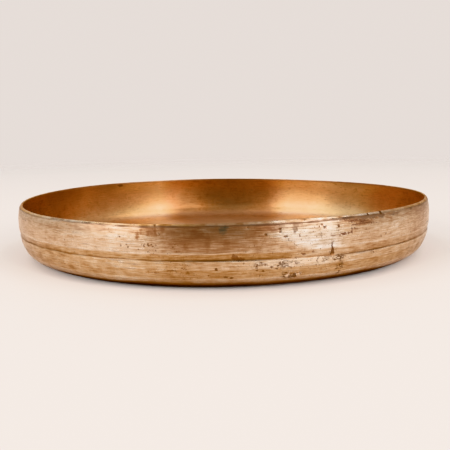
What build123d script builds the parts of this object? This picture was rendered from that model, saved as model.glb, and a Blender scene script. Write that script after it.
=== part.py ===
"""Shallow bronze singing bowl, beaten out of one disc of metal and turned on a lathe.

It is one solid piece: a flat underside and floor, a tight rounded corner, a low wall that is
widest three quarters of the way up, and a plain bevelled lip. Two turned details run round
the outside: a recessed band that ends below in a sharp step, and a fine line under the lip.

Frame: millimetres, +Z up, origin at the centre of the flat underside.
"""

import os
from math import radians, sin, sqrt

from build123d import *

# Driving dimensions
diameter = 300.0  # across the widest part of the wall
height = 38.4  # from the underside to the top of the lip
thickness = 2.0  # of the wall and the floor, which is one sheet all over
widest_height = 28.0  # where the outside of the wall stands upright

# Outside profile: arcs that run tangent into each other, from the widest point
shoulder_radius = 35.0  # above it, leaning in to the lip
wall_radius, wall_turn = 72.4, 12.2  # below it, first the wall
corner_radius, corner_turn = 15.3, 56.4  # then the corner
heel_turn = 90.0 - wall_turn - corner_turn  # then the heel, which runs out on the underside

# Turned details on the outside
band_top = 21.8  # the recessed band's upper edge
band_step = 18.2  # its lower edge, where the surface steps back out
band_depth = 0.45
step_rise = 0.3  # the height that the step takes
lip_bevel = 0.7
lip_round = 0.5
lip_line_drop = 1.5  # from the top of the lip to the line under it
lip_line_width, lip_line_depth = 0.6, 0.22
clear_of_wall = 1.0  # how far a cutting profile stands outside the wall

widest_radius = diameter / 2


def wall_outside(z):
    """The outside radius of the wall at a height above the corner."""
    curve = shoulder_radius if z > widest_height else wall_radius
    return widest_radius - curve + sqrt(curve**2 - (z - widest_height) ** 2)


def heel_radius():
    """The radius at which the heel arc runs out exactly on the underside."""
    slope = sin(radians(wall_turn + corner_turn))
    corner_centre_height = widest_height - (wall_radius - corner_radius) * sin(radians(wall_turn))
    return (corner_centre_height - corner_radius * slope) / (1 - slope)


def sheet_side(inset):
    """One side of the sheet, from the top of the lip down to the axis."""
    widest = (widest_radius - inset, widest_height)
    shoulder_curve = shoulder_radius - inset
    rise = height - widest_height
    lean = shoulder_curve - sqrt(shoulder_curve**2 - rise**2)
    top = (widest_radius - inset - lean, height)
    RadiusArc(widest, top, -shoulder_curve)
    wall = JernArc(widest, (0, -1), wall_radius - inset, -wall_turn)
    corner = JernArc(wall @ 1, wall % 1, corner_radius - inset, -corner_turn)
    heel = JernArc(corner @ 1, corner % 1, heel_radius() - inset, -heel_turn)
    axis_point = (0, (heel @ 1).Y)
    Line(heel @ 1, axis_point)
    return top, axis_point


with BuildPart() as bowl:
    # The sheet itself
    with BuildSketch(Plane.XZ):
        with BuildLine():
            outer_top, outer_axis = sheet_side(0)
            inner_top, inner_axis = sheet_side(thickness)
            Line(outer_top, inner_top)
            Line(outer_axis, inner_axis)
        make_face()
    revolve(axis=Axis.Z)

    # The lip's bevel outside and its rounded edge inside
    lip_circles = bowl.edges().filter_by(GeomType.CIRCLE).group_by(Axis.Z)[-1]
    chamfer(lip_circles.sort_by(SortBy.RADIUS)[-1], lip_bevel)
    lip_circles = bowl.edges().filter_by(GeomType.CIRCLE).group_by(Axis.Z)[-1]
    fillet(lip_circles.sort_by(SortBy.RADIUS)[0], lip_round)

    # The recessed band: it deepens downwards and ends in a step
    with BuildSketch(Plane.XZ):
        with BuildLine():
            outside = widest_radius + clear_of_wall
            step_root = (wall_outside(band_step) - band_depth, band_step)
            Polyline(
                (outside, band_top),
                (wall_outside(band_top), band_top),
                step_root,
                (wall_outside(band_step - step_rise), band_step - step_rise),
                (outside, band_step - step_rise),
                close=True,
            )
        make_face()
    revolve(axis=Axis.Z, mode=Mode.SUBTRACT)

    # The fine V line under the lip
    with BuildSketch(Plane.XZ):
        with BuildLine():
            line_height = height - lip_line_drop
            half_width = lip_line_width / 2
            Polyline(
                (outside, line_height + half_width),
                (wall_outside(line_height + half_width), line_height + half_width),
                (wall_outside(line_height) - lip_line_depth, line_height),
                (wall_outside(line_height - half_width), line_height - half_width),
                (outside, line_height - half_width),
                close=True,
            )
        make_face()
    revolve(axis=Axis.Z, mode=Mode.SUBTRACT)

bowl.part.label = "bowl"

os.makedirs("parts", exist_ok=True)
export_step(bowl.part, "parts/bowl.step")

print("heel radius", round(heel_radius(), 2), "volume", round(bowl.part.volume), "mm3")
print("box", bowl.part.bounding_box())
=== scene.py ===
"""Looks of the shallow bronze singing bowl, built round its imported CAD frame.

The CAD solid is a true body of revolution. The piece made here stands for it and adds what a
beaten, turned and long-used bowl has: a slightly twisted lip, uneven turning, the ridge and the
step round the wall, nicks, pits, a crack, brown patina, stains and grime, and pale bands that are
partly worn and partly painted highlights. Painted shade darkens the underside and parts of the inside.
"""

import math

import bpy
import numpy as np
from mathutils import Matrix, Vector


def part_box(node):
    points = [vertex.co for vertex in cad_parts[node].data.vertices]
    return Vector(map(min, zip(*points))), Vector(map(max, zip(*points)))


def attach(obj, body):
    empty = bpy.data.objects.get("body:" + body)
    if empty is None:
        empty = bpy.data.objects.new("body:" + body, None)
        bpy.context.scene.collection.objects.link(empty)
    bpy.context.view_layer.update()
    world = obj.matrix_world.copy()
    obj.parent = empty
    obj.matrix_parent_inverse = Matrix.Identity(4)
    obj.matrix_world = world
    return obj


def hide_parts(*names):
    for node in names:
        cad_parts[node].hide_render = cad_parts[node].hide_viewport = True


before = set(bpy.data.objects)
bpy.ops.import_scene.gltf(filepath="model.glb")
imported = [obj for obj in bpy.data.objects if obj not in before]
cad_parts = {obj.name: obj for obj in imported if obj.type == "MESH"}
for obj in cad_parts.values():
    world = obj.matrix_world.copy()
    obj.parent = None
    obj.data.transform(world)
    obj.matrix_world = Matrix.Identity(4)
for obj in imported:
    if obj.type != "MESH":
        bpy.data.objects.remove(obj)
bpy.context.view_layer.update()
low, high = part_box("bowl")

# The bowl's sizes as the CAD has them, in millimetres of a bowl 300 mm across
WIDTH = 300.0
MM = (high.x - low.x) / WIDTH  # metres in one such millimetre
RADIUS = WIDTH / 2
HEIGHT = (high.z - low.z) / MM
SHEET = 2.0  # thickness
WIDEST = 28.0  # height of the widest part
SHOULDER_RADIUS = 35.0
WALL_RADIUS, WALL_TURN = 72.4, 12.2
CORNER_RADIUS, CORNER_TURN = 15.3, 56.4
BAND_TOP, BAND_STEP, BAND_DEPTH = 21.8, 18.2, 0.45
LIP_BEVEL, LIP_ROUND = 0.7, 0.5

# The sizes of what the CAD leaves out or makes plainer, in the same millimetres
STEP_RISE = 0.35  # the height that the step under the band takes
RIDGE = 0.12  # how far the edge over the band stands out
LINE_DROP, LINE_HALF_WIDTH, LINE_DEPTH = 1.0, 0.6, 0.12  # the turned line under the lip
FACET_TOP, FACET_END, FACET_DEPTH = 13.4, 7.2, 0.22  # a flatter turned stretch on the corner
LIP_TWIST = 0.75  # how far the lip rises and falls as it goes round
BASE_LIFT = 0.45  # how far the heel is off the table, right of the front
CRACK_LENGTH, CRACK_DEPTH = 8.4, 0.5
CRACK_TIP, CRACK_WIDENING = 0.32, 1.25  # half its width at the tip, and how much more at the foot
PIT_DEPTH, ETCHING_DEPTH = 0.2, 0.1

# Angles round the bowl, in degrees: 0 is +X, -90 is the front (-Y)
FRONT = (-135.0, -35.0)  # where the clearest marks are, and the mesh is finest
FAR_SIDE = (-28, 218)  # what the front view doesn't show
CRACK_ANGLE = -66.4
NICKS = (  # in the top of the lip, and how deep
    (-104.6, 0.12),
    (-72.9, 0.12),
    (-56.4, 0.15),
    (-52.2, 0.12),
    (118.0, 0.25),
    (20.0, 0.2),
)

# Marks of use on the outside: angle, height, half width and half height in millimetres,
# and how strong where that isn't 1
PITS = (
    (-112.6, 31.1, 0.7, 0.6),
    (-112.3, 25.9, 0.6, 0.6),
    (-110.9, 26.9, 0.6, 0.5),
    (-110.6, 25.4, 0.6, 0.7),
    (-108.2, 24.4, 0.7, 0.7, 0.7),
    (-107.4, 27.0, 0.5, 0.4),
    (-106.9, 26.3, 0.6, 0.5),
    (-106.7, 27.4, 0.5, 0.4),
    (-106.0, 27.7, 0.7, 0.5),
    (-105.9, 26.6, 0.8, 0.6),
    (-105.2, 27.4, 0.6, 0.5),
    (-104.9, 26.3, 0.6, 0.4),
    (-104.2, 27.0, 0.5, 0.4),
    (-100.6, 26.1, 0.9, 0.8, 0.6),
    (-93.4, 9.6, 0.6, 0.5, 0.8),
    (-91.8, 13.6, 1.0, 0.9),
    (-89.9, 8.6, 1.4, 0.5),
    (-88.6, 8.1, 1.3, 0.5),
    (-85.2, 35.8, 0.6, 0.4, 0.8),
    (-83.3, 15.3, 0.5, 0.85),
    (-82.4, 16.5, 0.8, 0.4),
    (-81.6, 15.6, 0.4, 0.85),
    (-83.3, 12.3, 0.9, 0.4),
    (-82.0, 11.8, 0.95, 0.4),
    (-80.2, 13.9, 1.35, 0.5),
    (-79.1, 12.8, 0.8, 0.5),
    (-78.9, 14.3, 0.7, 0.4),
    (-78.4, 15.8, 0.55, 1.1),
    (-81.5, 31.8, 1.0, 0.7),
    (-78.5, 34.1, 0.8, 0.7),
    (-78.5, 32.6, 0.7, 0.6),
    (-77.3, 30.1, 1.2, 0.7),
    (-75.1, 18.0, 0.9, 0.5, 0.8),
    (-76.9, 9.8, 0.9, 0.5),
    (-77.2, 7.4, 0.9, 0.4),
    (-75.7, 8.6, 0.8, 0.4),
    (-74.7, 7.1, 1.05, 0.4),
    (-73.6, 8.4, 0.65, 0.4),
    (-69.0, 34.6, 0.9, 0.9),
    (-68.3, 33.3, 1.2, 0.9),
    (-69.7, 33.9, 0.6, 0.7),
    (-69.2, 29.4, 0.35, 2.6, 0.7),
    (-64.9, 33.3, 0.8, 0.8),
    (-70.1, 15.4, 0.55, 0.4),
    (-67.8, 15.6, 0.55, 0.4),
    (-66.6, 16.8, 0.65, 0.4),
    (-65.3, 16.2, 0.55, 0.5),
    (-65.6, 15.1, 0.7, 0.4),
    (-64.6, 16.9, 0.5, 0.4),
    (-63.6, 15.6, 0.55, 0.7),
    (-64.3, 13.8, 0.55, 0.5, 0.9),
    (-64.1, 11.3, 0.65, 0.85, 0.9),
    (-64.8, 9.2, 0.8, 0.5, 0.9),
    (-63.8, 7.5, 0.9, 0.5, 0.9),
    (-55.5, 16.9, 0.9, 0.4, 0.7),
    (-53.8, 16.4, 0.8, 0.5, 0.7),
    (-52.6, 24.9, 0.6, 1.0, 0.8),
    (-51.6, 23.9, 0.5, 0.4, 0.7),
    (-50.9, 25.6, 0.5, 1.0, 0.8),
    (-49.0, 25.2, 0.6, 0.6, 0.8),
    (-104.6, 37.9, 0.8, 0.7, 0.8),
    (-72.9, 37.9, 0.7, 0.6),
    (-56.4, 37.9, 0.8, 0.7),
    (-52.2, 37.8, 1.2, 1.1),
)
FLAKES = (
    (-88.2, 20.3, 1.0, 1.4),
    (-87.6, 20.0, 0.9, 1.2),
    (-86.9, 18.8, 2.4, 0.7),
    (-73.2, 20.0, 1.4, 0.7, 0.7),
    (-71.2, 20.9, 0.9, 0.5, 0.6),
)
ETCHED = (
    (-83.0, 14.6, 4.0, 3.0, 0.7),
    (-77.0, 15.0, 8.0, 2.8, 0.8),
    (-69.5, 16.0, 7.0, 2.0, 0.7),
    (-64.6, 15.8, 5.0, 2.4),
    (-64.0, 10.5, 2.4, 5.5, 0.9),
    (-75.6, 8.2, 7.0, 2.6),
    (-54.6, 16.6, 4.0, 1.3, 0.8),
    (-100.6, 12.2, 3.0, 1.2, 0.5),
)
BARE = (  # bits of pale bare metal among the etching
    (-81.5, 15.6, 5.0, 1.6, 0.5),
    (-76.0, 16.0, 7.0, 1.8, 0.9),
    (-72.6, 15.9, 5.0, 1.4, 1.0),
    (-70.0, 16.5, 6.0, 1.3),
    (-65.5, 16.2, 5.0, 1.3, 0.6),
    (-75.4, 8.8, 6.0, 1.6),
    (-89.6, 14.6, 4.0, 1.2, 0.5),
)
STAINS = (  # brown
    (-108.4, 31.8, 1.3, 3.0, 1.1),
    (-106.0, 36.4, 5.5, 1.4, 0.7),
    (-107.6, 35.2, 1.0, 2.8, 0.7),
    (-105.9, 34.2, 1.2, 3.8, 0.8),
    (-104.4, 34.8, 1.0, 3.4, 0.7),
    (-102.8, 35.6, 1.5, 2.8, 0.5),
    (-106.6, 34.6, 3.0, 1.6, 0.4),
    (-105.0, 33.4, 2.4, 3.0, 0.4),
    (-85.9, 10.7, 1.6, 1.0, 0.6),
    (-106.5, 11.1, 1.6, 0.7, 0.8),
    (-110.4, 31.6, 1.2, 1.0, 0.5),
    (-98.0, 26.3, 1.6, 1.4, 0.5),
    (-95.6, 33.0, 4.5, 3.4, 0.4),
    (-93.4, 28.5, 1.8, 5.5, 0.35),
    (-89.6, 27.0, 2.0, 3.5, 0.4),
    (-101.6, 12.4, 2.0, 0.8, 0.7),
    (-97.8, 11.2, 1.0, 1.6, 0.6),
    (-136.8, 24.6, 5.0, 0.5, 0.5),
    (-125.0, 29.0, 7.0, 0.5, 0.35),
    (-119.0, 27.8, 1.0, 2.6, 0.3),
    (-117.0, 28.8, 4.0, 0.5, 0.4),
    (-75.7, 23.5, 2.2, 0.5, 0.5),
    (-73.0, 22.9, 2.6, 0.4, 0.5),
    (-68.4, 25.5, 2.4, 1.6, 0.4),
)
SMEARS = (  # reddish, drawn out along the turning
    (-63.4, 36.4, 3.4, 0.5, 0.9),
    (-60.8, 35.2, 7.2, 0.8, 0.75),
    (-57.4, 34.4, 8.0, 0.5, 0.75),
    (-58.5, 33.3, 8.8, 0.5, 0.85),
    (-60.4, 30.8, 3.2, 0.5, 0.9),
    (-61.6, 30.2, 0.6, 1.8, 0.9),
    (-63.5, 28.9, 5.4, 0.5, 0.9),
    (-66.4, 28.6, 2.4, 1.0, 0.7),
    (-59.0, 29.2, 5.0, 0.35, 0.4),
    (-53.0, 32.6, 8.0, 0.4, 0.5),
    (-101.0, 12.9, 4.0, 0.4, 0.4),
    (-105.0, 11.0, 4.0, 0.4, 0.6),
)
VERDIGRIS = (
    (-90.3, 35.0, 2.6, 2.6, 0.85),
    (-89.7, 36.4, 1.6, 1.1, 1.0),
)
TARNISH = (  # greyish brown, most of it under the lip
    (-75.0, 35.2, 1.9, 1.8, 0.9),
    (-75.2, 33.6, 1.5, 2.0, 0.9),
    (-75.3, 32.2, 0.9, 1.2, 0.8),
    (-62.0, 37.0, 5.0, 0.8, 1.0),
    (-58.0, 36.6, 7.0, 1.3, 0.8),
    (-54.6, 36.4, 6.0, 1.2, 0.75),
    (-52.2, 36.5, 2.8, 1.8, 1.0),
    (-48.0, 36.2, 8.0, 1.2, 0.55),
    (-41.0, 36.6, 10.0, 1.4, 0.5),
    (-31.0, 36.9, 12.0, 1.2, 0.4),
    (-136.0, 37.2, 10.0, 0.5, 0.3),
)

# The same for the inside
SHADED_INSIDE = (  # darker patches
    (105.0, 15.0, 15.0, 12.0, 0.55),
    (98.0, 24.0, 26.0, 10.0, 0.3),
    (88.0, 9.0, 24.0, 6.0, 0.3),
    (158.0, 33.0, 34.0, 14.0, 0.5),
    (136.0, 37.0, 24.0, 6.0, 0.4),
    (38.0, 37.0, 26.0, 5.0, 0.35),
    (85.0, 35.0, 20.0, 6.0, 0.2),
)
PAINTED_HIGHLIGHTS_INSIDE = (  # painted highlights where the lamps are reflected: only angles, and how bright they are there
    (10, 0.2),
    (25, 0.6),
    (35, 1.03),
    (45, 1.12),
    (55, 1.0),
    (65, 0.95),
    (74, 0.22),
    (85, 0.15),
    (95, 0.05),
    (105, 0.12),
    (115, 1.0),
    (125, 0.78),
    (135, 0.56),
    (147, 0.32),
    (158, 0.0),
)
INNER_STAINS = (
    (131.2, 37.0, 2.6, 1.9, 1.5),
    (131.0, 35.2, 1.2, 2.2, 1.0),
    (112.0, 37.4, 3.5, 0.6, 0.6),
    (104.0, 28.0, 4.0, 1.6, 0.4),
    (104.5, 15.0, 10.0, 8.0, 0.35),
    (106.5, 24.0, 7.0, 0.8, 0.3),
    (55.2, 24.9, 3.4, 0.5, 0.6),
    (50.8, 23.6, 5.0, 0.7, 0.6),
    (46.5, 22.0, 3.0, 1.0, 0.45),
    (58.0, 33.0, 1.2, 0.8, 0.5),
    (66.0, 31.0, 1.0, 3.0, 0.25),
    (150.0, 30.0, 9.0, 4.0, 0.35),
    (22.0, 25.0, 9.0, 6.0, 0.3),
)

scatter = np.random.RandomState(41)


def scattered(count, *ranges):
    """Marks strewn over the far side. The ranges are of height, half width, half height, strength."""
    return tuple(tuple(scatter.uniform(*span) for span in (FAR_SIDE, *ranges)) for _ in range(count))


# Nobody has seen the far side: it gets the same kinds of marks, at random
STAINS += scattered(26, (10, 36), (2, 7), (0.5, 2.5), (0.2, 0.6))
SMEARS += scattered(9, (24, 36), (4, 9), (0.4, 0.9), (0.5, 0.9))
ETCHED += scattered(5, (9, 16), (5, 10), (1.5, 3.0), (0.5, 0.9))


def smooth(edge0, edge1, value):
    """0 at edge0, 1 at edge1, with a soft start and end."""
    t = np.clip((value - edge0) / (edge1 - edge0), 0.0, 1.0)
    return t * t * (3 - 2 * t)


def bell(value, centre, width):
    """1 at the centre, falling away evenly on both sides."""
    return np.exp(-(((value - centre) / width) ** 2))


# ---------------------------------------------------------------- profile


def sheet_side(inset, spacing):
    """Rings (radius, height, normal) of one side of the sheet, from the lip to the flat."""
    wall_end, corner_end = math.radians(WALL_TURN), math.radians(WALL_TURN + CORNER_TURN)
    slope = math.sin(corner_end)
    corner_z = WIDEST - (WALL_RADIUS - CORNER_RADIUS) * math.sin(wall_end)
    corner_r = RADIUS - WALL_RADIUS + (WALL_RADIUS - CORNER_RADIUS) * math.cos(wall_end)
    heel_radius = (corner_z - CORNER_RADIUS * slope) / (1 - slope)
    heel_r = corner_r - (heel_radius - CORNER_RADIUS) * math.cos(corner_end)
    lip_angle = -math.asin((HEIGHT - WIDEST) / SHOULDER_RADIUS)
    arcs = (
        (RADIUS - SHOULDER_RADIUS, WIDEST, SHOULDER_RADIUS, lip_angle, 0.0),
        (RADIUS - WALL_RADIUS, WIDEST, WALL_RADIUS, 0.0, wall_end),
        (corner_r, corner_z, CORNER_RADIUS, wall_end, corner_end),
        (heel_r, heel_radius, heel_radius, corner_end, math.pi / 2),
    )
    rings = []
    for centre_r, centre_z, radius, start, end in arcs:
        steps = max(2, round((end - start) * radius / spacing))
        for angle in np.linspace(start, end, steps, endpoint=False):
            across, up = math.cos(angle), -math.sin(angle)
            reach = radius - inset
            rings.append((centre_r + reach * across, centre_z + reach * up, across, up))
    rings.append((heel_r, inset, 0.0, -1.0))
    return rings


def flat_disc(edge, z, up, count):
    """Rings that close the flat from its edge to near the axis."""
    return [(edge * (1 - i / count), z, 0.0, up) for i in range(1, count)]


def lip_rings(outer, inner):
    """The bevel, the narrow flat top and the rounded inner edge, from outside to inside."""
    outer_r, inner_r = outer[0][0], inner[0][0]
    rings = [
        (outer_r, HEIGHT - LIP_BEVEL, 0.9, 0.4),
        (outer_r - 0.5 * LIP_BEVEL, HEIGHT - 0.5 * LIP_BEVEL, 0.7, 0.7),
        (outer_r - LIP_BEVEL, HEIGHT, 0.3, 0.95),
        ((outer_r + inner_r) / 2, HEIGHT, 0.0, 1.0),
    ]
    for turn in (0, 30, 60, 90):
        a = math.radians(turn)
        rings.append(
            (
                inner_r + LIP_ROUND * (1 - math.sin(a)),
                HEIGHT - LIP_ROUND * (1 - math.cos(a)),
                -math.sin(a),
                math.cos(a),
            )
        )
    return rings


OUTER_SPACING, INNER_SPACING = 0.6, 1.4  # between rings
outside = sheet_side(0.0, OUTER_SPACING)
inside = sheet_side(SHEET, INNER_SPACING)
lip = lip_rings(outside, inside)
outer_side = [ring for ring in outside if ring[1] < HEIGHT - LIP_BEVEL - 0.1]
inner_side = [(r, z, -across, -up) for r, z, across, up in inside if z < HEIGHT - LIP_ROUND - 0.2]


# ---------------------------------------------------------------- uneven surface


def waves(seed, phi, along, rounds, cycles, count=48):
    """Smooth noise, about -1 to 1, that closes on itself round the bowl.

    rounds is how many waves go round it, cycles how many go by in a millimetre along."""
    rng = np.random.RandomState(seed)
    total = np.zeros(np.broadcast(phi, along).shape)
    for _ in range(count):
        m = rng.randint(*rounds)
        q = rng.uniform(*cycles) * 2 * math.pi
        total += np.cos(m * phi + q * along * rng.choice((-1, 1)) + rng.uniform(0, 2 * math.pi))
    return total / math.sqrt(count / 2) / 2


def ragged(phi, z, reach):
    """The same places, shifted by up to about reach millimetres, to give a mark a ragged edge."""
    sideways = waves(31, phi, z, (150, 700), (0.1, 0.7)) * reach
    upwards = waves(32, phi, z, (150, 700), (0.1, 0.7)) * reach
    return phi + sideways / RADIUS, z + upwards


def strongest(marks, phi, z, power=1.0, spread=1.0):
    """How much of a mark there is at each place, 0 to 1, fading from each mark's centre."""
    total = np.zeros(np.broadcast(phi, z).shape)
    for angle, at, half_width, half_height, *strength in marks:
        across = np.remainder(np.degrees(phi) - angle + 180, 360) - 180
        across = np.radians(across) * RADIUS / (half_width * spread)
        along = (z - at) / (half_height * spread)
        inside = np.clip(1 - across**2 - along**2, 0, 1) ** power
        total = np.maximum(total, inside * (strength[0] if strength else 1.0))
    return total


def crack(phi, z):
    """The crack that runs up the wall from the step, widest at its foot."""
    foot, tip = BAND_STEP - 0.2, BAND_STEP - 0.2 + CRACK_LENGTH
    share = np.clip((z - foot) / (tip - foot), 0, 1)
    centre = CRACK_ANGLE + 0.32 * np.sin(7 * share + 0.4) * share
    half = CRACK_TIP + CRACK_WIDENING * (1 - share) ** 2.2
    across = np.radians(np.abs(np.degrees(phi) - centre)) * RADIUS
    inside = smooth(foot - 0.2, foot + 0.3, z) * smooth(tip + 0.6, tip - 0.4, z)
    return smooth(half + 0.3, half - 0.25, across) * inside


def step_height(phi):
    """Height of the step, which isn't quite level: a little higher at the front, lower to the right."""
    around = np.degrees(phi)
    front = 0.45 * bell(around, -90, 13) - 0.4 * smooth(-74, -64, around) * smooth(60, 20, around)
    return BAND_STEP - 0.15 + front + 0.12 * waves(13, phi, 0 * phi, (4, 40), (0, 0.01))


def lip_line(phi):
    """Height of the turned line under the lip."""
    around = np.degrees(phi)
    dip = 0.35 * (bell(around, -108, 4) + bell(around, -98, 6))
    dip += 0.45 * (bell(around, -80, 12) + bell(around, -71, 7))
    return HEIGHT - LINE_DROP - dip + 0.06 * waves(16, phi, 0 * phi, (4, 60), (0, 0.01))


def base_lift(phi, r):
    """The base isn't beaten quite flat: how far it is off the table."""
    return BASE_LIFT * bell(np.degrees(phi), -72, 20) * (r / RADIUS) ** 3


def band_top(phi):
    """Height of the band's upper edge."""
    return BAND_TOP + 0.3 * waves(14, phi, 0 * phi, (2, 26), (0, 0.01))


def relief(phi, r, z):
    """How far the outside stands out from its smooth profile, in millimetres."""
    turned = z + r
    height = waves(11, phi, turned, (6, 40), (0.01, 0.05)) * 0.035
    height += waves(12, phi, turned, (2, 9), (0.12, 0.5)) * 0.008
    step, top = step_height(phi), band_top(phi)
    height += RIDGE * bell(z, top + 0.5, 0.6)
    height -= BAND_DEPTH * smooth(top + 0.3, step, z) * smooth(step - STEP_RISE, step, z)
    height -= FACET_DEPTH * smooth(FACET_TOP, FACET_TOP - 1.2, z) * smooth(FACET_END, FACET_END + 1.2, z)
    height -= LINE_DEPTH * np.clip(1 - np.abs(z - lip_line(phi)) / LINE_HALF_WIDTH, 0, 1)
    torn = ragged(phi, z, 0.4)
    height -= PIT_DEPTH * (strongest(PITS, *torn) + strongest(FLAKES, *torn, 0.5))
    crumbled = smooth(0.1, 0.5, waves(15, phi, turned, (60, 320), (0.1, 0.5)))
    height -= ETCHING_DEPTH * strongest(ETCHED, *torn, 0.7) * crumbled
    return (height - CRACK_DEPTH * crack(phi, z)) * smooth(0.0, 2.0, z)


# ---------------------------------------------------------------- mesh


def angles(near, far):
    """Angles of a ring's points: near of them in the front stretch, and far in the rest."""
    start, end = (math.radians(a) for a in FRONT)
    front = np.linspace(start, end, near, endpoint=False)
    rest = np.linspace(end, start + 2 * math.pi, far, endpoint=False)
    return np.concatenate([front, rest])


def lip_wave(phi):
    """The slight twist of the lip, in millimetres up: left-front and right-back hang low."""
    around = np.degrees(phi) % 360
    behind = -0.4 * bell(around, 118, 14) - 0.25 * bell(around, 55, 20)
    front = -0.25 * bell(around, 249, 5) + 0.35 * bell(around, 286, 8)
    return -LIP_TWIST * np.sin(2 * phi) + behind + front


def nicks(phi):
    """Depth of the small dents in the top of the lip."""
    depth = 0 * phi
    for angle, deep in NICKS:
        depth = depth + deep * bell(np.remainder(np.degrees(phi) - angle + 180, 360), 180, 0.35)
    return depth


class Shell:
    """Collects rings of points and the faces between them."""

    def __init__(self):
        self.points, self.faces, self.last = [], [], None
        self.total = 0
        self.spots = []  # (angle, height, side) of every point, for the masks

    def ring(self, r, z, across, up, counts, side, shape=None):
        """A ring of points, which a shape function moves along the normal, and the faces to it."""
        phi = angles(*counts)
        self.spots.append(np.stack([phi, z + 0 * phi, side + 0 * phi], -1))
        shift = 0 * phi if shape is None else shape(phi, r, z + 0 * phi)
        radial = r + shift * across
        height = z + shift * up + smooth(BAND_STEP, HEIGHT, z) * lip_wave(phi)
        height -= smooth(HEIGHT - 1.6, HEIGHT - 0.5, z) * nicks(phi)
        if side == OUTER:
            height += smooth(7, 1, z) * base_lift(phi, r)
        self.points.append(np.stack([radial * np.cos(phi), radial * np.sin(phi), height], -1))
        ring = (self.total, *counts)
        self.total += len(phi)
        if self.last is not None:
            self.join(self.last, ring)
        self.last = ring

    def join(self, a, b):
        """Faces between two rings, each stretch of the second as fine or a whole number coarser."""
        a_start, a_near, a_far = a
        b_start, b_near, b_far = b
        for j in range(b_near + b_far):
            b0, b1 = b_start + j, b_start + (j + 1) % (b_near + b_far)
            if j < b_near:
                step = a_near // b_near
                first = j * step
            else:
                step = a_far // b_far
                first = a_near + (j - b_near) * step
            fine = [a_start + (first + k) % (a_near + a_far) for k in range(step + 1)]
            if step == 1:
                self.faces.append((fine[0], b0, b1, fine[1]))
                continue
            half = step // 2
            for k in range(step):
                self.faces.append((fine[k], b0 if k < half else b1, fine[k + 1]))
            self.faces.append((fine[half], b0, b1))

    def close(self, z, side):
        """A point on the axis that ends the surface."""
        self.points.append(np.array([[0.0, 0.0, z]]))
        self.spots.append(np.array([[0.0, z, side]]))
        start, near, far = self.last
        count = near + far
        for j in range(count):
            self.faces.append((start + j, self.total, start + (j + 1) % count))
        self.total += 1
        self.last = None


def fill(shell, rings, counts, side, shape=None):
    for ring in rings:
        shell.ring(*ring, counts, side, shape)


FINE, MIDDLE, COARSE = (540, 300), (180, 300), (90, 60)  # points of a ring: at the front, elsewhere
OUTER, LIP, INNER = 0, 1, 2
UNDER_RINGS, FLOOR_RINGS = 6, 10  # of the flats underneath and inside

shell = Shell()
fill(shell, outer_side, FINE, OUTER, relief)
fill(shell, flat_disc(outer_side[-1][0], 0.0, -1.0, UNDER_RINGS), COARSE, OUTER)
shell.close(0.0, OUTER)
outer_faces, shell.faces = shell.faces, []
shell.last = (0, *FINE)  # back to the top ring of the outside
fill(shell, lip, FINE, LIP)
fill(shell, inner_side, MIDDLE, INNER)
fill(shell, flat_disc(inner_side[-1][0], SHEET, 1.0, FLOOR_RINGS), COARSE, INNER)
shell.close(SHEET, INNER)
points = np.concatenate(shell.points) * MM
# the lip and the inside were laid the other way round, so their faces are turned over
faces = outer_faces + [tuple(reversed(face)) for face in shell.faces]

mesh = bpy.data.meshes.new("bronze_bowl")
mesh.from_pydata(points.tolist(), [], faces)
mesh.shade_smooth()
bowl = bpy.data.objects.new("bronze_bowl", mesh)
bpy.context.scene.collection.objects.link(bowl)


# ---------------------------------------------------------------- masks

LEVELS = 40.0  # a height of this many millimetres is stored as 1

phi, height, side = np.concatenate(shell.spots).T
degrees = np.degrees(phi) % 360 - 360
azimuth = degrees + 360
is_outer, is_lip, is_inner = side == OUTER, side == LIP, side == INNER
radii = np.hypot(points[:, 0], points[:, 1]) / MM
torn = ragged(phi, height, 0.45)


def paint(name, values):
    """Stores a mask on the mesh, for the material to read."""
    attribute = mesh.attributes.new(name, "FLOAT", "POINT")
    attribute.data.foreach_set("value", np.clip(values, 0, 1).astype(np.float32))


def stretch(start, end, soft):
    """1 between two angles, fading over soft degrees at each end."""
    return smooth(start - soft, start + soft, degrees) * smooth(end + soft, end - soft, degrees)


def patches(*rows):
    """The sum of some stretches, each (amount, start, end, soft) and maybe two more heights.

    With them, the stretch grows from nothing at the first height to the whole at the second."""
    total = 0 * phi
    for amount, start, end, soft, *heights in rows:
        grown = smooth(*heights, height) if heights else 1.0
        total = total + amount * stretch(start, end, soft) * grown
    return total


# the zones of the outside, from the lip down
near_lip = smooth(0.0, 0.4, height - lip_line(phi))
step, top = step_height(phi), band_top(phi)
upper = smooth(top, top + 1, height)
band = smooth(top + 0.4, top - 0.4, height) * smooth(step - 0.3, step, height)
lower = smooth(step, step - 0.5, height)
facet = smooth(FACET_TOP, FACET_TOP - 0.8, height) * smooth(FACET_END, FACET_END + 0.8, height)
above_facet = (13, 14)

# the brown middle of the front: partly brown patina, partly a painted dark reflection of the dark studio
# in front of the bowl
patina_and_dark_reflection = stretch(-103, -85, 4)
# the pale stretch on the right, with a slanting left edge: partly worn metal, partly a painted highlight
# of the right lamp
slanting = degrees - 0.85 * np.clip(31.4 - height, 0, 12)
worn_and_highlit_right = smooth(-82, -77, slanting) * smooth(-62, -67, degrees)
far_side = 1 - stretch(-168, -12, 8)
patchy = waves(26, phi, height, (3, 40), (0.0, 0.09))
uneven = 0.6 + 0.4 * waves(21, phi, height, (3, 40), (0, 0.05))
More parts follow.
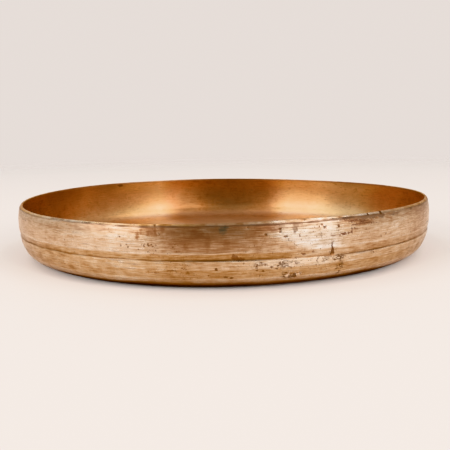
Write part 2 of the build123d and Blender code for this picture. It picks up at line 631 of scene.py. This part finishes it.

# The mask goes from 0, brown patina, through 0.5, plain turned metal, to 1, worn pale metal; painted
# highlights and painted shade are laid into it as well
under_lip = (31.5, 34.5)
# the upper wall: paler at -115 and on the right, where the lamps' highlights fall, partly worn metal and
# partly painted highlight; browner in the middle of the front, partly patina and partly painted dark
# reflection; darker just under the lip
upper_wear_and_light = 0.2 * bell(degrees, -115, 9) + 0.32 * worn_and_highlit_right
upper_wear_and_light -= patina_and_dark_reflection * (0.165 + 0.14 * smooth(23, 31, height))
upper_wear_and_light -= smooth(*under_lip, height) * (1 - patina_and_dark_reflection) * (0.14 + 0.36 * stretch(-81, -75, 2))
upper_wear_and_light += patches(
    (0.13, -152, -128, 4, 33, 35),
    (-0.03, -152, -128, 4, 34, 32),
    (0.06, -139, -131, 2, 32, 34),
    (-0.07, -126, -114, 3, 31, 34),
    (-0.1, -121, -110, 3, *under_lip),
    (-0.05, -103, -97, 2, 29, 27),
    (0.04, -91, -85, 2, 27, 31),
    (-0.15, -85, -80, 2),
    (-0.04, -80, -69, 2, 32, 34),
    (-0.22, -75, -65, 2, *under_lip),
    (0.06, -68, -63, 2, 34, 32),
    (-0.05, -60, -55, 3),
    (0.05, -55, -48, 3),
    (-0.06, -42, -25, 6),
    (-0.04, -40, -30, 4),
)
# the band, darkening down towards the step: painted shade in the recess
band_wear_and_shade = -0.07 - 0.12 * smooth(step + 1.8, step + 0.2, height)
band_wear_and_shade += patches(
    (0.12, -130, -106, 4),
    (-0.06, -103, -97, 2),
    (-0.07, -102, -76, 2),
    (0.1, -74, -62, 3),
)
# the flat stretch and the lower wall are paler at about -112, where the left lamp's highlight falls:
# painted highlight
facet_wear_and_light = -0.03 + 0.11 * bell(degrees, -113, 9) - 0.04 * stretch(-101, -60, 3)
lower_wear_and_light = (1 - facet) * (0.16 * bell(degrees, -112, 6) + 0.03 * stretch(-62, -48, 4))
lower_wear_and_light += 0.09 * (1 - stretch(-98, -42, 6)) * waves(27, phi, height, (20, 130), (0.02, 0.15))
lower_wear_and_light += patches(
    (-0.04, -142, -128, 4, *above_facet),
    (0.05, -120, -108, 3, *above_facet),
    (-0.07, -102, -97, 2),
    (0.06, -90, -58, 3),
    (0.08, -86, -64, 4, *above_facet),
    (0.09, -84, -64, 2, *above_facet),
    (0.05, -80, -74, 2, *above_facet),
    (0.06, -79, -69, 2, *above_facet),
)
# pale lines along the edge over the band, under the step and round the flat stretch: painted highlights
# where the surface turns
edges = 0.25 * bell(height, top + 0.6, 0.45) + 0.22 * bell(height, step - 0.9, 0.4)
edges += 0.2 * (bell(height, FACET_TOP - 0.2, 0.4) + bell(height, FACET_END, 0.5))
wear_and_light = 0.5 + upper * upper_wear_and_light + band * band_wear_and_shade + facet * facet_wear_and_light + lower * lower_wear_and_light
wear_and_light += edges * uneven - 0.06 * far_side * (1 - patchy) - 0.4 * strongest(STAINS, *torn, 0.6)
# the lip: partly worn metal, partly painted light; it is painted paler at the left and the right, where
# the lamps shine on its bevel, and darker at -107 to -99
lip_wear_and_light = 0.4 + 0.08 * waves(24, phi, 0 * phi, (4, 120), (0, 0.01))
lip_wear_and_light += patches(
    (0.34, -165, -108, 2),
    (0.22, -152, -121, 4),
    (-0.1, -107, -99, 2),
    (0.05, -102, -96, 2),
    (0.1, -84, -78, 3),
    (0.34, -78, -62, 3),
    (0.4, -62, -48, 3),
    (0.1, -48, -20, 4),
)
wear_and_light += (lip_wear_and_light - wear_and_light) * np.where(is_lip, 1.0, near_lip)
paint("wear_and_light", np.where(is_inner, 0.5, wear_and_light))
contrast = 0.52 + 1.0 * worn_and_highlit_right * upper + 0.1 * upper * bell(degrees, -112, 8)
contrast -= 0.18 * (1 - stretch(-142, -42, 8)) + 0.12 * patina_and_dark_reflection * upper + 0.17 * far_side
contrast -= 0.1 * upper * stretch(-150, -118, 5)
paint("contrast", contrast)

# the colour of the metal outside
pinker = 1 - 0.55 * stretch(-75, -20, 3) - 0.4 * stretch(-170, -139, 4)
golden = 0.85 * band * pinker + 0.85 * facet + (0.45 + 0.3 * stretch(-142, -97, 3)) * lower * (1 - facet)
golden += near_lip * (0.2 + 0.8 * stretch(-170, -96, 3)) + upper * far_side * (0.42 + 0.12 * patchy)
paint("golden", golden * (1 - is_inner))
# paler, greyer metal on the upper wall where the lamps' highlights fall: partly worn metal, partly
# painted highlight
silvery = worn_and_highlit_right + 0.6 * stretch(-126, -110, 3) * smooth(29, 33, height)
paint("silvery", silvery * upper * (1 - near_lip))

# marks on it
paint("smears", strongest(SMEARS, *torn, 1.0, 1.25) * is_outer)
paint("verdigris", strongest(VERDIGRIS, *torn, 0.6) * is_outer)
paint("tarnish", strongest(TARNISH, *torn, 0.6, 1.2) * is_outer)
paint("etched", strongest(ETCHED, *torn, 0.4) * is_outer)
paint("bare", strongest(BARE, *torn, 0.6) * is_outer)
paint("pits", strongest(PITS, phi, height, 1.0, 1.45) * (is_outer | is_lip))
paint("flakes", strongest(FLAKES, *torn, 0.7, 1.3) * is_outer)
paint("crack", crack(phi, height) * (1 - 0.04 * np.clip(height - BAND_STEP, 0, 9)) * is_outer)
paint("speckled", 0.25 + 0.6 * worn_and_highlit_right * upper + 0.5 * upper * bell(degrees, -110, 7) + 0.3 * lower)

# the lip, and the dark lines in the step and under the lip
lip_dirt = 0.32 + patches(
    (0.6, -126, -100, 4),
    (0.25, -100, -86, 3),
    (0.9, -86, -62, 3),
    (0.28, -62, -50, 3),
)
lip_dirt *= 0.88 + 0.28 * waves(23, phi, 0 * phi, (2, 110), (0, 0.01))
to_the_side = np.where(degrees < -95, smooth(30, 62, -95 - degrees), smooth(46, 66, degrees + 95))
paint("lip", np.where(is_lip, 1.0, near_lip * is_outer))
paint("lip_dirt", lip_dirt)
paint("step_dirt", 0.7 - 0.3 * to_the_side)
paint("level", height / LEVELS)
paint("step_level", step / LEVELS)
paint("lip_line", lip_line(phi) / LEVELS)

# painted shade on the underside, darkest at the foot by the table; it reaches less high at the left and
# the right
underside_shade_top = 8.5 - 2.4 * stretch(-175, -112, 6) - 2.4 * stretch(-52, -5, 5)
underside_shade = smooth(underside_shade_top, 1.0, height) * (1 - 0.56 * to_the_side - 0.2 * stretch(-84, -60, 3))
paint("under", underside_shade * is_outer)

# the inside, with highlights painted in where the lamps are reflected, by angle and height
painted_highlight = np.interp(azimuth, *zip(*PAINTED_HIGHLIGHTS_INSIDE))
painted_highlight = painted_highlight + 0.15 * bell(azimuth, 85, 6) * smooth(26, 20, height)
# how bright the painted highlights are at each height
strength = 0.56 + 0.2 * smooth(26, 34, height) + 0.24 * smooth(20, 12, height)
paint("inside", 1.0 * is_inner)
paint("painted_highlight_mask", painted_highlight * strength * is_inner)
paint("shade", strongest(SHADED_INSIDE, phi, height) * is_inner)
paint("dull", is_inner * smooth(9, 4, height) * (1 - 0.65 * painted_highlight * smooth(112, 118, radii)))
paint("inner_stains", strongest(INNER_STAINS, *torn, 1.0, 1.4) * is_inner)

# ---------------------------------------------------------------- materials


class Nodes:
    """Short hand for building a node tree."""

    def __init__(self, tree):
        self.tree = tree
        tree.nodes.clear()

    def add(self, kind, inputs=(), **settings):
        node = self.tree.nodes.new(kind)
        for name, value in settings.items():
            setattr(node, name, value)
        for key, value in dict(inputs).items():
            self.set(node.inputs[key], value)
        return node

    def set(self, socket, value):
        if isinstance(value, bpy.types.Node):
            value = value.outputs[0]
        if isinstance(value, bpy.types.NodeSocket):
            self.tree.links.new(value, socket)
        else:
            socket.default_value = value

    def math(self, operation, a, b=0.0):
        return self.add("ShaderNodeMath", {0: a, 1: b}, operation=operation)

    def total(self, *terms):
        """The sum of (value, factor) pairs."""
        result = 0.0
        for value, factor in terms:
            result = self.math("ADD", result, self.math("MULTIPLY", value, factor))
        return result

    def times(self, *factors):
        result = factors[0]
        for factor in factors[1:]:
            result = self.math("MULTIPLY", result, factor)
        return result

    def most(self, *values):
        """The largest of the values."""
        result = values[0]
        for value in values[1:]:
            result = self.math("MAXIMUM", result, value)
        return result

    def mix(self, fac, a, b):
        node = self.add("ShaderNodeMix", {0: fac, 6: a, 7: b}, data_type="RGBA")
        return node.outputs[2]

    def range(self, value, low, high, to_low=0.0, to_high=1.0):
        return self.add(
            "ShaderNodeMapRange",
            {0: value, 1: low, 2: high, 3: to_low, 4: to_high},
            interpolation_type="SMOOTHSTEP",
        )

    def ramp(self, value, *stops):
        """A colour that changes along the stops, each (position, colour)."""
        node = self.add("ShaderNodeValToRGB", {0: value})
        elements = node.color_ramp.elements
        while len(elements) < len(stops):
            elements.new(0.5)
        for element, (position, colour) in zip(elements, stops):
            element.position, element.color = position, colour
        return node.outputs[0]

    def noise(self, vector, scale, detail=3.0, roughness=0.5):
        return self.add(
            "ShaderNodeTexNoise",
            {"Vector": vector, "Scale": scale, "Detail": detail, "Roughness": roughness},
        )


class BronzeNodes(Nodes):
    """The bronze's node tree, with the noises that all its layers share."""

    def __init__(self, tree):
        super().__init__(tree)
        self.place = self.add("ShaderNodeTexCoord").outputs["Object"]
        self.x, self.y, z = self.add("ShaderNodeSeparateXYZ", {0: self.place}).outputs
        flat = self.add("ShaderNodeCombineXYZ", {0: self.x, 1: self.y})
        radius = self.add("ShaderNodeVectorMath", {0: flat}, operation="LENGTH").outputs["Value"]
        self.turned = self.math("ADD", radius, z)
        # drawn out along the turning
        self.broad = self.lathe(45, 320, detail=3.0, roughness=0.55)
        self.lines = self.lathe(100, 1050, detail=4.0, roughness=0.65)
        self.hair = self.lathe(130, 2400, detail=2.0)
        # the same in every direction
        self.cloud = self.noise(self.place, 42.0, 5.0, 0.6)
        self.mottle = self.noise(self.place, 240.0, 6.0, 0.65)
        self.grit = self.noise(self.place, 1100.0, 3.0, 0.6)

    def mask(self, name):
        """A mask that was painted on the mesh."""
        return self.add("ShaderNodeAttribute", attribute_name=name).outputs["Fac"]

    def stretched(self, along, across):
        """The place, with one scale along the turning and another across it."""
        x, y = self.times(self.x, along), self.times(self.y, along)
        return self.add("ShaderNodeCombineXYZ", {0: x, 1: y, 2: self.times(self.turned, across)})

    def lathe(self, along, across, **settings):
        """Noise drawn out along the turning."""
        return self.noise(self.stretched(along, across), 1.0, **settings)

    def swing(self, noise, amount):
        """Noise about 0, for total."""
        return (self.math("SUBTRACT", noise, 0.5), amount)


def turned_metal(n):
    """The outside: how worn it is, from patina to polished pale, with painted highlights and painted
    shade laid in, and its colour.
    """
    streaks = n.total(
        n.swing(n.broad, 0.6),
        n.swing(n.lines, 0.65),
        n.swing(n.mottle, 1.1),
        n.swing(n.cloud, 0.7),
        n.swing(n.hair, 1.9),
    )
    wear_and_light = n.total((n.mask("wear_and_light"), 0.8), (n.times(streaks, n.mask("contrast")), 0.8))
    pink = n.ramp(
        wear_and_light,
        (0.0, (0.27, 0.12, 0.06, 1)),
        (0.24, (0.42, 0.23, 0.12, 1)),
        (0.4, (0.59, 0.395, 0.25, 1)),
        (0.56, (0.71, 0.54, 0.39, 1)),
        (0.78, (0.85, 0.73, 0.61, 1)),
        (1.0, (0.97, 0.92, 0.86, 1)),
    )
    gold = n.ramp(
        wear_and_light,
        (0.0, (0.23, 0.095, 0.03, 1)),
        (0.28, (0.42, 0.22, 0.085, 1)),
        (0.44, (0.56, 0.345, 0.175, 1)),
        (0.7, (0.75, 0.57, 0.38, 1)),
        (1.0, (0.92, 0.82, 0.70, 1)),
    )
    # paler, greyer metal, used where the lamps' highlights fall: partly worn metal, partly painted
    # highlight
    silver = n.ramp(
        wear_and_light,
        (0.0, (0.28, 0.16, 0.10, 1)),
        (0.4, (0.555, 0.42, 0.30, 1)),
        (0.56, (0.70, 0.57, 0.455, 1)),
        (0.78, (0.86, 0.77, 0.675, 1)),
        (1.0, (0.97, 0.93, 0.88, 1)),
    )
    tone = n.mix(n.mask("golden"), n.mix(n.mask("silvery"), pink, silver), gold)
    # thin dark scratches where the metal is worn
    scratches = n.range(n.lathe(70, 2000, detail=2.0), 0.56, 0.66)
    scratches = n.times(scratches, n.range(wear_and_light, 0.4, 0.62), 0.6)
    return wear_and_light, n.mix(scratches, tone, (0.25, 0.15, 0.10, 1))


def smeared(n, tone):
    """Reddish smears, broken up along the turning."""
    mask = n.mask("smears")
    smears = n.total((mask, 1.0), n.swing(n.lines, 1.8), n.swing(n.hair, 1.6))
    smears = n.times(n.range(smears, 0.36, 0.62), n.range(mask, 0.0, 0.3))
    smears = n.times(smears, n.range(n.hair, 0.3, 0.6, 0.6, 1.0))
    return n.mix(smears, tone, (0.20, 0.09, 0.055, 1))


def etched(n, tone):
    """Pale islands with dark crinkled edges and pores. Also returns the edges."""
    mask = n.mask("etched")
    islands = n.noise(n.stretched(210.0, 380.0), 1.0, 2.5, 0.55)
    island = n.times(n.range(islands, 0.46, 0.54), n.range(n.hair, 0.35, 0.6, 0.6, 1.0), n.mask("bare"))
    shore = n.range(n.math("ABSOLUTE", n.math("SUBTRACT", islands, 0.48)), 0.08, 0.04)
    shore = n.times(mask, shore, n.range(n.mottle, 0.40, 0.50))
    pores = n.times(mask, n.range(n.grit, 0.60, 0.66))
    tone = n.mix(n.times(island, 0.95), tone, (0.96, 0.79, 0.62, 1))
    tone = n.mix(n.times(shore, 0.92), tone, (0.14, 0.065, 0.03, 1))
    return shore, n.mix(n.times(pores, 0.8), tone, (0.14, 0.06, 0.025, 1))


def speckled(n, tone):
    """Fine specks, in clusters. Also returns the specks."""
    coarser = n.noise(n.place, 650.0, 2.0, 0.5)
    cluster = n.noise(n.place, 38.0, 3.0, 0.5)
    dots = n.most(n.range(n.grit, 0.61, 0.67), n.range(coarser, 0.66, 0.7))
    specks = n.times(dots, n.range(cluster, 0.42, 0.6), n.range(n.mask("inside"), 0, 1, 1, 0.3))
    specks = n.times(specks, n.range(n.mask("speckled"), 0.0, 0.8, 0.5, 1.0))
    return specks, n.mix(n.times(specks, 0.8), tone, (0.16, 0.07, 0.03, 1))


def lined(n, tone):
    """The inside, which is darker and warmer, with highlights painted in where the lamps are reflected.
    """
    inside, painted_highlight_mask, dull = n.mask("inside"), n.mask("painted_highlight_mask"), n.mask("dull")
    uneven = n.total(n.swing(n.lines, 1.3), n.swing(n.cloud, 1.2), n.swing(n.mottle, 1.4), (0.5, 1.0))
    lining = n.ramp(
        uneven,
        (0.2, (0.32, 0.115, 0.032, 1)),
        (0.5, (0.465, 0.195, 0.07, 1)),
        (0.8, (0.57, 0.285, 0.12, 1)),
    )
    # the colour of the painted highlights, paler where they run onto the dull floor
    painted_highlight = n.ramp(
        painted_highlight_mask,
        (0.3, (0.82, 0.475, 0.25, 1)),
        (0.56, (0.86, 0.58, 0.28, 1)),
        (0.8, (0.885, 0.65, 0.365, 1)),
    )
    palest_highlight = n.times(n.range(dull, 0.0, 0.5), n.range(painted_highlight_mask, 0.4, 0.8))
    painted_highlight = n.mix(palest_highlight, painted_highlight, (0.88, 0.76, 0.62, 1))
    scuffs = n.range(n.total((n.lines, 0.35), (n.mottle, 0.4), (n.hair, 0.25)), 0.48, 0.6)
    tone = n.mix(inside, tone, lining)
    # the painted highlights, laid over the lining
    tone = n.mix(n.times(painted_highlight_mask, n.range(uneven, 0.3, 0.7, 0.86, 1.1)), tone, painted_highlight)
    tone = n.mix(n.mask("shade"), tone, (0.25, 0.13, 0.06, 1))
    tone = n.mix(n.times(dull, 0.55), tone, (0.60, 0.39, 0.25, 1))
    return n.mix(n.times(scuffs, inside, 0.55), tone, (0.34, 0.15, 0.055, 1))


def tarnished(n, tone):
    """Verdigris, tarnish and flakes. Also returns the tarnish."""
    verdigris = n.times(n.mask("verdigris"), n.range(n.lines, 0.3, 0.6, 0.5, 1.0))
    mask = n.mask("tarnish")
    tarnish = n.total((mask, 1.0), n.swing(n.lines, 1.2), n.swing(n.mottle, 1.2))
    tarnish = n.times(n.range(tarnish, 0.2, 0.7), n.range(mask, 0.0, 0.2), 0.8)
    flakes = n.total((n.mask("flakes"), 1.0), n.swing(n.grit, 0.8))
    tone = n.mix(verdigris, tone, (0.16, 0.15, 0.105, 1))
    tone = n.mix(tarnish, tone, (0.23, 0.135, 0.085, 1))
    return tarnish, n.mix(n.times(n.range(flakes, 0.2, 0.4), 0.65), tone, (0.17, 0.055, 0.02, 1))


def seam(n, line, half_width, waver):
    """A thin dark line round the outside at a painted height."""
    above = n.times(n.math("SUBTRACT", n.mask("level"), n.mask(line)), LEVELS)
    away = n.math("ABSOLUTE", n.total((above, 1.0), n.swing(n.mottle, waver)))
    dark = n.range(n.math("DIVIDE", away, half_width), 1.0, 0.3)
    return n.times(dark, n.math("SUBTRACT", 1.0, n.mask("inside")))


def dirtied(n, tone):
    """Dirt in the step, in the line under the lip, and in every pit, crack and stain of the inside.

    Also returns the dirt."""
    lip_dirt = n.times(n.mask("lip_dirt"), n.range(n.cloud, 0.35, 0.6, 0.8, 1.0))
    lip_width = n.range(n.mask("lip_dirt"), 0.6, 1.0, 0.7, 0.95)
    lip_seam = n.times(seam(n, "lip_line", lip_width, 0.5), lip_dirt)
    step_dirt = n.times(n.mask("step_dirt"), n.range(n.broad, 0.35, 0.65, 0.5, 1.0))
    step_seam = n.times(seam(n, "step_level", 0.6, 0.8), step_dirt)
    pits = n.total((n.mask("pits"), 1.0), n.swing(n.grit, 1.2))
    pits = n.times(n.range(pits, 0.42, 0.62), n.range(n.mask("pits"), 0.0, 0.2), 0.8)
    cracked = n.total((n.mask("crack"), 1.0), n.swing(n.grit, 0.5))
    cracked = n.times(n.range(cracked, 0.3, 0.6), 0.85)
    blots = n.total((n.mask("inner_stains"), 1.0), n.swing(n.mottle, 0.6))
    blots = n.times(n.range(blots, 0.2, 0.9), n.range(n.mask("inner_stains"), 0.0, 0.2), 0.75)
    grime = n.most(step_seam, pits, cracked, blots)
    tone = n.mix(lip_seam, tone, (0.15, 0.08, 0.05, 1))
    return n.most(grime, lip_seam), n.mix(grime, tone, (0.14, 0.052, 0.018, 1))


def shaded_underside(n, tone):
    """Painted shade on the underside, darkening to a deep brown towards the table."""
    under = n.mask("under")
    underside_shade = n.ramp(
        under,
        (0.0, (0.45, 0.22, 0.09, 1)),
        (0.6, (0.22, 0.08, 0.025, 1)),
        (1.0, (0.09, 0.025, 0.006, 1)),
    )
    return n.mix(under, tone, underside_shade)


def bronze():
    """Worn bronze with painted highlights and painted shade, layer over layer, read from the masks and
    from noise.
    """
    material = bpy.data.materials.new("worn_bronze_painted_light")
    material.use_nodes = True
    n = BronzeNodes(material.node_tree)
    wear_and_light, tone = turned_metal(n)
    tone = smeared(n, tone)
    shore, tone = etched(n, tone)
    specks, tone = speckled(n, tone)
    tone = lined(n, tone)
    tarnish, tone = tarnished(n, tone)
    dirt, tone = dirtied(n, tone)
    tone = shaded_underside(n, tone)

    # steep views of bare metal stay warm; dirt, and the painted shade of the underside, hardly shine at
    # all
    edge_tint = n.mix(n.mask("lip"), (1.0, 0.94, 0.87, 1), (0.86, 0.60, 0.39, 1))
    dark = n.most(n.range(n.mask("under"), 0.15, 0.6), dirt, n.times(tarnish, 0.7))
    edge_tint = n.mix(dark, edge_tint, (0.13, 0.035, 0.012, 1))

    rough = n.total(
        (n.range(wear_and_light, 0.16, 0.64, 0.42, 0.27), 1.0),
        (n.range(n.lines, 0.3, 0.7, 0.04, -0.04), 1.0),
        (n.mask("dull"), 0.18),
    )
    bumps = n.total((n.lines, 0.8), (n.hair, 0.35), (n.mottle, 0.7), (specks, -1.5), (shore, -2.0))
    normal = n.add("ShaderNodeBump", {"Strength": 0.35, "Distance": 0.00006, "Height": bumps})
    tangent = n.add("ShaderNodeTangent", direction_type="RADIAL", axis="Z")
    shader = n.add(
        "ShaderNodeBsdfPrincipled",
        {
            "Base Color": tone,
            "Metallic": 1.0,
            "Specular Tint": edge_tint,
            "Roughness": rough,
            "Anisotropic": 0.4,
            "Anisotropic Rotation": 0.25,
            "Normal": normal,
            "Tangent": tangent,
        },
    )
    n.add("ShaderNodeOutputMaterial", {0: shader})
    return material


FADE_START, FADE_END = 0.6, 1.5  # metres from the middle


def paper():
    """Pale paper that fades into the backdrop well away from the bowl."""
    material = bpy.data.materials.new("pale_paper")
    material.use_nodes = True
    n = Nodes(material.node_tree)
    place = n.add("ShaderNodeTexCoord").outputs["Object"]
    grain = n.noise(place, 900.0, 3.0, 0.6)
    tone = n.mix(grain, (0.655, 0.608, 0.584, 1), (0.685, 0.637, 0.611, 1))
    sheet = n.add(
        "ShaderNodeBsdfPrincipled",
        {"Base Color": tone, "Roughness": 0.9, "Specular IOR Level": 0.1},
    )
    away = n.add("ShaderNodeVectorMath", {0: place}, operation="LENGTH").outputs["Value"]
    faded = n.range(away, FADE_START, FADE_END)
    backdrop = n.add("ShaderNodeBsdfTransparent")
    shader = n.add("ShaderNodeMixShader", {0: faded, 1: sheet, 2: backdrop})
    n.add("ShaderNodeOutputMaterial", {0: shader})
    return material


bowl.data.materials.append(bronze())
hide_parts("bowl")
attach(bowl, "root")

# ---------------------------------------------------------------- stage

FLOOR_SIZE, FLOOR_DROP = 4.0, 0.00005  # metres; just clear of the underside
floor_mesh = bpy.data.meshes.new("floor")
h = FLOOR_SIZE / 2
floor_mesh.from_pydata([(-h, -h, 0), (h, -h, 0), (h, h, 0), (-h, h, 0)], [], [(0, 1, 2, 3)])
floor = bpy.data.objects.new("floor", floor_mesh)
floor.location.z = -FLOOR_DROP
bpy.context.scene.collection.objects.link(floor)
floor.data.materials.append(paper())


LIGHT_DISTANCE = 1.1  # metres
LIGHT_AIM = Vector((0, 0, 0.02))
FILL_SPREAD, FILL_TILT = math.radians(26), math.radians(70)


def lamp(name, kind, power, colour):
    """A light in the scene. Its azimuths, below, are angles round the bowl, as above."""
    light = bpy.data.lights.new(name, kind)
    light.energy, light.color = power, colour
    holder = bpy.data.objects.new(name, light)
    bpy.context.scene.collection.objects.link(holder)
    return holder


def softbox(name, azimuth, elevation, size, power):
    """A rectangular light aimed at the bowl."""
    box = lamp(name, "AREA", power, (1.0, 0.97, 0.94))
    box.data.shape = "RECTANGLE"
    box.data.size, box.data.size_y = size
    a, e = math.radians(azimuth), math.radians(elevation)
    away = Vector((math.cos(a) * math.cos(e), math.sin(a) * math.cos(e), math.sin(e)))
    box.location = away * LIGHT_DISTANCE
    aim = LIGHT_AIM - box.location
    box.rotation_euler = aim.to_track_quat("-Z", "Y").to_euler()


def fill_light(name, azimuth, power):
    """A broad soft sun that lights the paper and rough metal, and isn't reflected."""
    sun = lamp(name, "SUN", power, (1.0, 0.98, 0.96))
    sun.data.angle = FILL_SPREAD
    sun.rotation_euler = (FILL_TILT, 0, math.radians(azimuth + 90))
    sun.visible_glossy = False


softbox("softbox_left", -147, 27, (0.62, 0.75), 3.9)
softbox("softbox_right", -50, 27, (0.68, 0.75), 4.4)
softbox("overhead_left", 176, 62, (0.45, 0.5), 2.0)
softbox("overhead_right", -4, 62, (0.45, 0.5), 2.0)
fill_light("fill_left", -140, 1.6)
fill_light("fill_front", -90, 1.8)
fill_light("fill_right", -40, 1.6)

# The camera sees a plain pale backdrop. The metal reflects a bright studio instead, which is dark
# straight in front of the bowl, towards -Y, and a little dimmer overhead.
world = bpy.data.worlds.new("studio")
bpy.context.scene.world = world
world.use_nodes = True
w = Nodes(world.node_tree)
direction = w.add("ShaderNodeTexCoord").outputs["Generated"]
_, y, z = w.add("ShaderNodeSeparateXYZ", {0: direction}).outputs
bright = w.times(w.range(y, -0.95, -0.7, 0.15, 0.85), w.range(z, 0.45, 0.8, 1.0, 0.6))
seen = w.add("ShaderNodeBackground", {0: (0.845, 0.775, 0.738, 1), 1: 1.0})
around = w.add("ShaderNodeBackground", {0: (1.0, 0.985, 0.97, 1.0), 1: bright})
path = w.add("ShaderNodeLightPath")
both = w.add("ShaderNodeMixShader", {0: path.outputs["Is Camera Ray"], 1: around, 2: seen})
w.add("ShaderNodeOutputWorld", {0: both})

# ---------------------------------------------------------------- camera

CAMERA_AWAY, CAMERA_UP = 476.1, 88.7  # mm from the bowl's axis, and above the floor
PITCH, YAW, ROLL = math.radians(8.86), math.radians(0.09), math.radians(-1.05)

camera = bpy.data.objects.new("camera", bpy.data.cameras.new("camera"))
bpy.context.scene.collection.objects.link(camera)
camera.data.lens, camera.data.sensor_width = 50.0, 36.0
camera.data.clip_start = 0.01
forward = Vector((math.sin(YAW) * math.cos(PITCH), math.cos(YAW) * math.cos(PITCH), -math.sin(PITCH)))
right = forward.cross(Vector((0, 0, 1))).normalized()
up = right.cross(forward)
rolled_right = math.cos(ROLL) * right + math.sin(ROLL) * up
rolled_up = -math.sin(ROLL) * right + math.cos(ROLL) * up
camera.matrix_world = Matrix.Translation((0, -CAMERA_AWAY * MM, CAMERA_UP * MM)) @ Matrix(
    (rolled_right, rolled_up, -forward)
).transposed().to_4x4()
bpy.context.scene.camera = camera
bpy.context.scene.view_settings.view_transform = "Khronos PBR Neutral"
